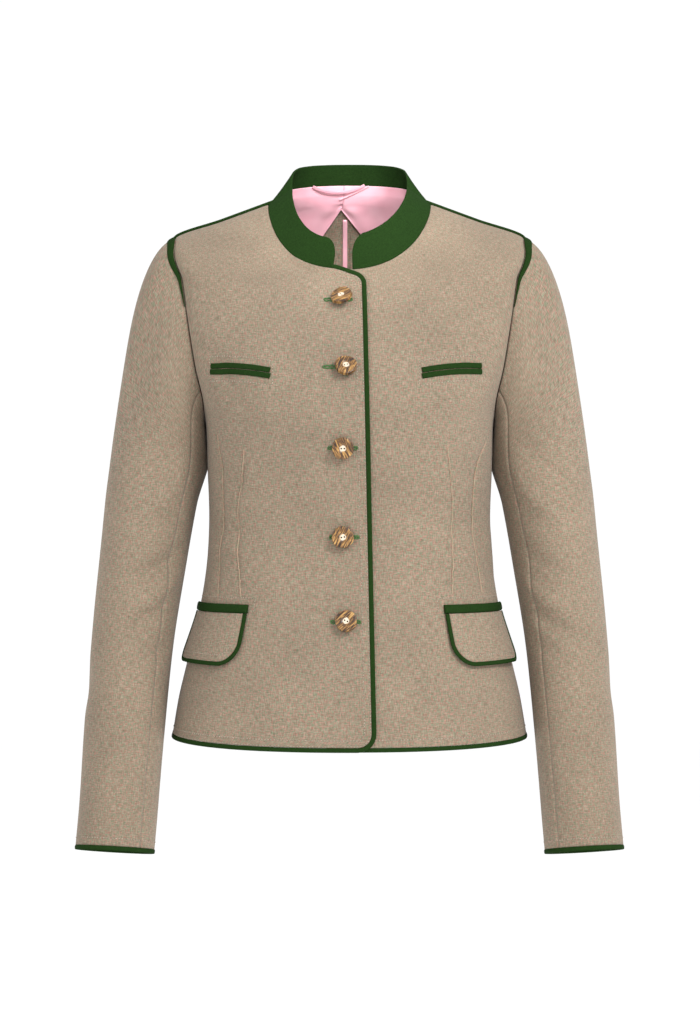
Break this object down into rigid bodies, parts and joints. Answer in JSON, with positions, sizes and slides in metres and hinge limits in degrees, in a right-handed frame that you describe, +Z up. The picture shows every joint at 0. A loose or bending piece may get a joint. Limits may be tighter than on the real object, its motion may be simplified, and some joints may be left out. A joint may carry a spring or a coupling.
{
  "type": "linen jacket",
  "caption": "Woman's hip-length linen jacket in its worn shape, hollow, with a stand collar, piped edges, flap pockets and a buttoned front.",
  "frame": {"origin": "midway between the two points where the shoulder seams meet the collar, where a wearer's shoulders and neck hold it", "axes": "+Z up, -Y to the front, +X to the wearer's left"},
  "size_m": [0.563, 0.2536, 0.722],
  "materials": {
    "linen": "matt plain weave with slubs",
    "green_felt": "matt wool felt",
    "antler": "polished bark and core",
    "pink_satin": "glossy satin"
  },
  "bodies": {
    "root": {"front_right": "linen", "front_left": "linen", "back_right": "linen", "back_left": "linen", "top_sleeve_right": "linen", "under_sleeve_right": "linen", "top_sleeve_left": "linen", "under_sleeve_left": "linen", "collar": "green_felt", "edge_piping_right": "green_felt", "hem_piping_left": "green_felt", "hem_piping_back": "green_felt", "cuff_piping_right": "green_felt", "armhole_insert_right": "green_felt", "shoulder_piping_right": "green_felt", "chest_welt_upper_right": "green_felt", "chest_welt_lower_right": "green_felt", "hip_welt_right": "green_felt", "flap_right": "linen", "flap_piping_right": "green_felt", "cuff_piping_left": "green_felt", "armhole_insert_left": "green_felt", "shoulder_piping_left": "green_felt", "chest_welt_upper_left": "green_felt", "chest_welt_lower_left": "green_felt", "hip_welt_left": "green_felt", "flap_left": "linen", "flap_piping_left": "green_felt", "button_1": "antler", "button_2": "antler", "button_3": "antler", "button_4": "antler", "button_5": "antler", "lining_right": "pink_satin", "lining_left": "pink_satin", "hanger_loop": "pink_satin", "back_seam_binding": "pink_satin"}
  },
  "joints": []
}
